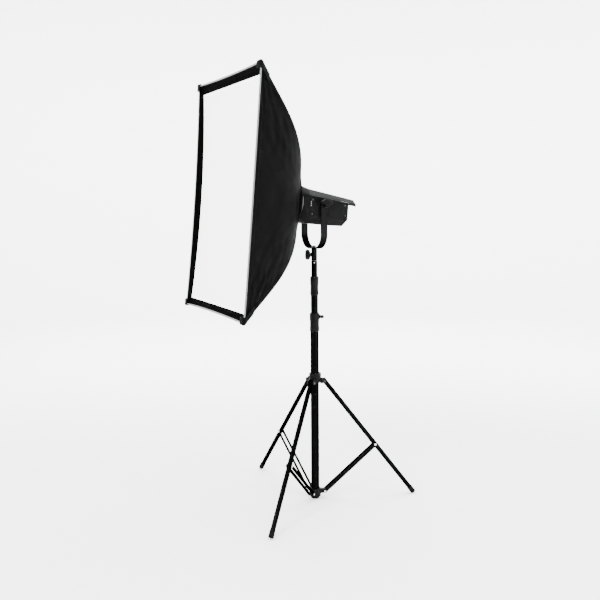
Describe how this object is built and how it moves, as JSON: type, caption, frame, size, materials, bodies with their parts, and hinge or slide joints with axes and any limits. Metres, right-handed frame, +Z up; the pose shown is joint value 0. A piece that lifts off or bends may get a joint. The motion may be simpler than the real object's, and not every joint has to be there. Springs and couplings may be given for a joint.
{
  "type": "studio softbox",
  "caption": "Rectangular softbox with front and inner diffusers on a bayonet LED head, held by a U yoke on a folding three-section light stand.",
  "frame": {"origin": "on the floor on the stand column's axis, at the underside of the column's end plug", "axes": "+Z up along the column; the softbox's front faces -Y, tipped up 5.2 degrees; +X along the softbox's short edges"},
  "size_m": [0.7362, 0.8588, 1.7335],
  "materials": {
    "softbox_shell": "satin black nylon outside, silver inside",
    "softbox_trim": "woven pale grey binding",
    "diffuser": "white diffusion cloth",
    "pocket": "coarse black webbing",
    "rod": "satin",
    "ring_metal": "black anodised",
    "adapter_metal": "satin",
    "mount_metal": "cast, satin",
    "head_shell": "fine texture, dark grey",
    "head_lid": "fine texture, mid grey",
    "black_plastic": "moulded, fine texture",
    "glass": "clear",
    "led": "chip with a yellow phosphor disc",
    "heat_sink": "raw fins",
    "display": "dark display window",
    "stand_metal": "black anodised tube",
    "yoke_metal": "black powder coat",
    "bright_steel": "turned",
    "black_steel": "black",
    "rubber": "matt"
  },
  "bodies": {
    "stand": {"lower_tube": "stand_metal", "column_plug": "rubber", "lower_collar": "black_plastic", "middle_collar": "black_plastic"},
    "middle_section": {"middle_tube": "stand_metal", "upper_collar": "black_plastic"},
    "top_section": {"top_tube": "stand_metal", "spigot": "bright_steel"},
    "spider": {"leg_spider": "black_plastic"},
    "spider_knob": {"spider_knob": "black_plastic"},
    "middle_collar_knob": {"middle_collar_knob": "black_plastic"},
    "upper_collar_knob": {"upper_collar_knob": "black_plastic"},
    "leg_near": {"leg_near": "stand_metal", "foot_near": "rubber"},
    "leg_right": {"leg_right": "stand_metal", "foot_right": "rubber"},
    "leg_left": {"leg_left": "stand_metal", "foot_left": "rubber"},
    "brace_near": {"brace_near": "stand_metal"},
    "brace_right": {"brace_right": "stand_metal"},
    "brace_left": {"brace_left": "stand_metal"},
    "yoke": {"yoke": "yoke_metal", "yoke_bolt": "black_steel", "stand_receiver": "yoke_metal"},
    "receiver_knob": {"receiver_knob": "black_plastic"},
    "head": {"head_housing": "head_shell", "top_cover": "head_lid", "front_bezel": "head_shell", "cover_glass": "glass", "mount_ring": "mount_metal", "led_board": "led", "heat_sink": "heat_sink", "rear_panel": "black_plastic", "display_window": "display", "power_inlet": "black_plastic", "pivot_cap": "black_plastic", "bayonet_adapter": "adapter_metal"},
    "tilt_knob": {"tilt_knob": "black_plastic"},
    "mount_latch": {"mount_latch": "black_plastic"},
    "fan_rotor": {"fan_rotor": "black_plastic"},
    "dimmer_dial": {"dimmer_dial": "black_plastic"},
    "mode_button": {"mode_button": "rubber"},
    "power_switch": {"power_switch": "black_plastic"},
    "softbox": {"speed_ring": "ring_metal", "rod_top_right": "rod", "rod_top_left": "rod", "rod_bottom_left": "rod", "rod_bottom_right": "rod", "shell_right": "softbox_shell", "shell_left": "softbox_shell", "shell_top": "softbox_shell", "shell_bottom": "softbox_shell", "front_binding": "softbox_trim", "front_lip": "pocket", "front_diffuser": "diffuser", "inner_baffle": "diffuser", "corner_pocket_top_right": "pocket", "corner_pocket_top_left": "pocket", "corner_pocket_bottom_left": "pocket", "corner_pocket_bottom_right": "pocket"}
  },
  "joints": [
    {"name": "middle_section_slide", "type": "slide", "parent": "stand", "child": "middle_section", "axis": [0, 0, 1], "range_m": [-0.065, 0.6]},
    {"name": "top_section_slide", "type": "slide", "parent": "middle_section", "child": "top_section", "axis": [0, 0, 1], "range_m": [-0.06, 0.6]},
    {"name": "spider_slide", "type": "slide", "parent": "stand", "child": "spider", "axis": [0, 0, 1], "range_m": [0, 0.168]},
    {"name": "spider_knob_turn", "type": "hinge", "parent": "spider", "child": "spider_knob", "pos_m": [0, 0, 0.53], "axis": [-0.6101, 0.7923, 0], "continuous": true},
    {"name": "middle_collar_knob_turn", "type": "hinge", "parent": "stand", "child": "middle_collar_knob", "pos_m": [0, 0, 0.784], "axis": [0.4909, 0.8712, 0], "continuous": true},
    {"name": "upper_collar_knob_turn", "type": "hinge", "parent": "middle_section", "child": "upper_collar_knob", "pos_m": [0, 0, 0.936], "axis": [-0.8746, 0.4848, 0], "continuous": true},
    {"name": "leg_near_fold", "type": "hinge", "parent": "spider", "child": "leg_near", "pos_m": [0.02441, -0.03169, 0.513], "axis": [0.7923, 0.6101, 0], "range_deg": [-0.2, 35.2]},
    {"name": "brace_near_fold", "type": "hinge", "parent": "stand", "child": "brace_near", "pos_m": [0.02502, -0.03248, 0.03], "axis": [-0.7923, -0.6101, 0], "range_deg": [-0.2, 44.9]},
    {"name": "leg_right_fold", "type": "hinge", "parent": "spider", "child": "leg_right", "pos_m": [0.01524, 0.03698, 0.513], "axis": [-0.9245, 0.3811, 0], "range_deg": [-0.2, 35.2]},
    {"name": "brace_right_fold", "type": "hinge", "parent": "stand", "child": "brace_right", "pos_m": [0.01562, 0.03791, 0.03], "axis": [0.9245, -0.3811, 0], "range_deg": [-0.2, 44.9]},
    {"name": "leg_left_fold", "type": "hinge", "parent": "spider", "child": "leg_left", "pos_m": [-0.03965, -0.00529, 0.513], "axis": [0.1323, -0.9912, 0], "range_deg": [-0.2, 35.2]},
    {"name": "brace_left_fold", "type": "hinge", "parent": "stand", "child": "brace_left", "pos_m": [-0.04064, -0.00542, 0.03], "axis": [-0.1323, 0.9912, 0], "range_deg": [-0.2, 44.9]},
    {"name": "yoke_pan", "type": "hinge", "parent": "top_section", "child": "yoke", "pos_m": [0, 0, 1.02], "axis": [0, 0, 1], "continuous": true},
    {"name": "receiver_knob_turn", "type": "hinge", "parent": "yoke", "child": "receiver_knob", "pos_m": [0, 0, 1.041], "axis": [-0.4909, -0.8712, 0], "continuous": true},
    {"name": "head_tilt", "type": "hinge", "parent": "yoke", "child": "head", "pos_m": [0, 0, 1.2446], "axis": [1, 0, 0], "range_deg": [-75, 28]},
    {"name": "tilt_knob_turn", "type": "hinge", "parent": "head", "child": "tilt_knob", "pos_m": [0.09, 0, 1.2446], "axis": [1, 0, 0], "continuous": true},
    {"name": "softbox_rotate", "type": "hinge", "parent": "head", "child": "softbox", "pos_m": [0, -0.10955, 1.25457], "axis": [0, -0.9959, 0.0906], "range_deg": [-90, 90]},
    {"name": "mount_latch_slide", "type": "slide", "parent": "head", "child": "mount_latch", "axis": [0, 0.9959, -0.0906], "range_m": [0, 0.004], "stiffness_N_per_m": 400},
    {"name": "fan_spin", "type": "hinge", "parent": "head", "child": "fan_rotor", "pos_m": [0, 0.02843, 1.22595], "axis": [0, 0.9959, -0.0906], "continuous": true},
    {"name": "dimmer_dial_turn", "type": "hinge", "parent": "head", "child": "dimmer_dial", "pos_m": [0.04, 0.11778, 1.20376], "axis": [0, 0.9959, -0.0906], "continuous": true},
    {"name": "mode_button_press", "type": "slide", "parent": "head", "child": "mode_button", "axis": [0, -0.9959, 0.0906], "range_m": [0, 0.0015], "stiffness_N_per_m": 300},
    {"name": "power_switch_rock", "type": "hinge", "parent": "head", "child": "power_switch", "pos_m": [-0.048, 0.11344, 1.20014], "axis": [1, 0, 0], "range_deg": [0, 12]}
  ],
  "couplings": [
    {"joint": "leg_near_fold", "follows": "spider_slide", "rad_per_m": 3.6361},
    {"joint": "brace_near_fold", "follows": "spider_slide", "rad_per_m": 4.6438},
    {"joint": "leg_right_fold", "follows": "spider_slide", "rad_per_m": 3.6361},
    {"joint": "brace_right_fold", "follows": "spider_slide", "rad_per_m": 4.6438},
    {"joint": "leg_left_fold", "follows": "spider_slide", "rad_per_m": 3.6361},
    {"joint": "brace_left_fold", "follows": "spider_slide", "rad_per_m": 4.6438}
  ]
}
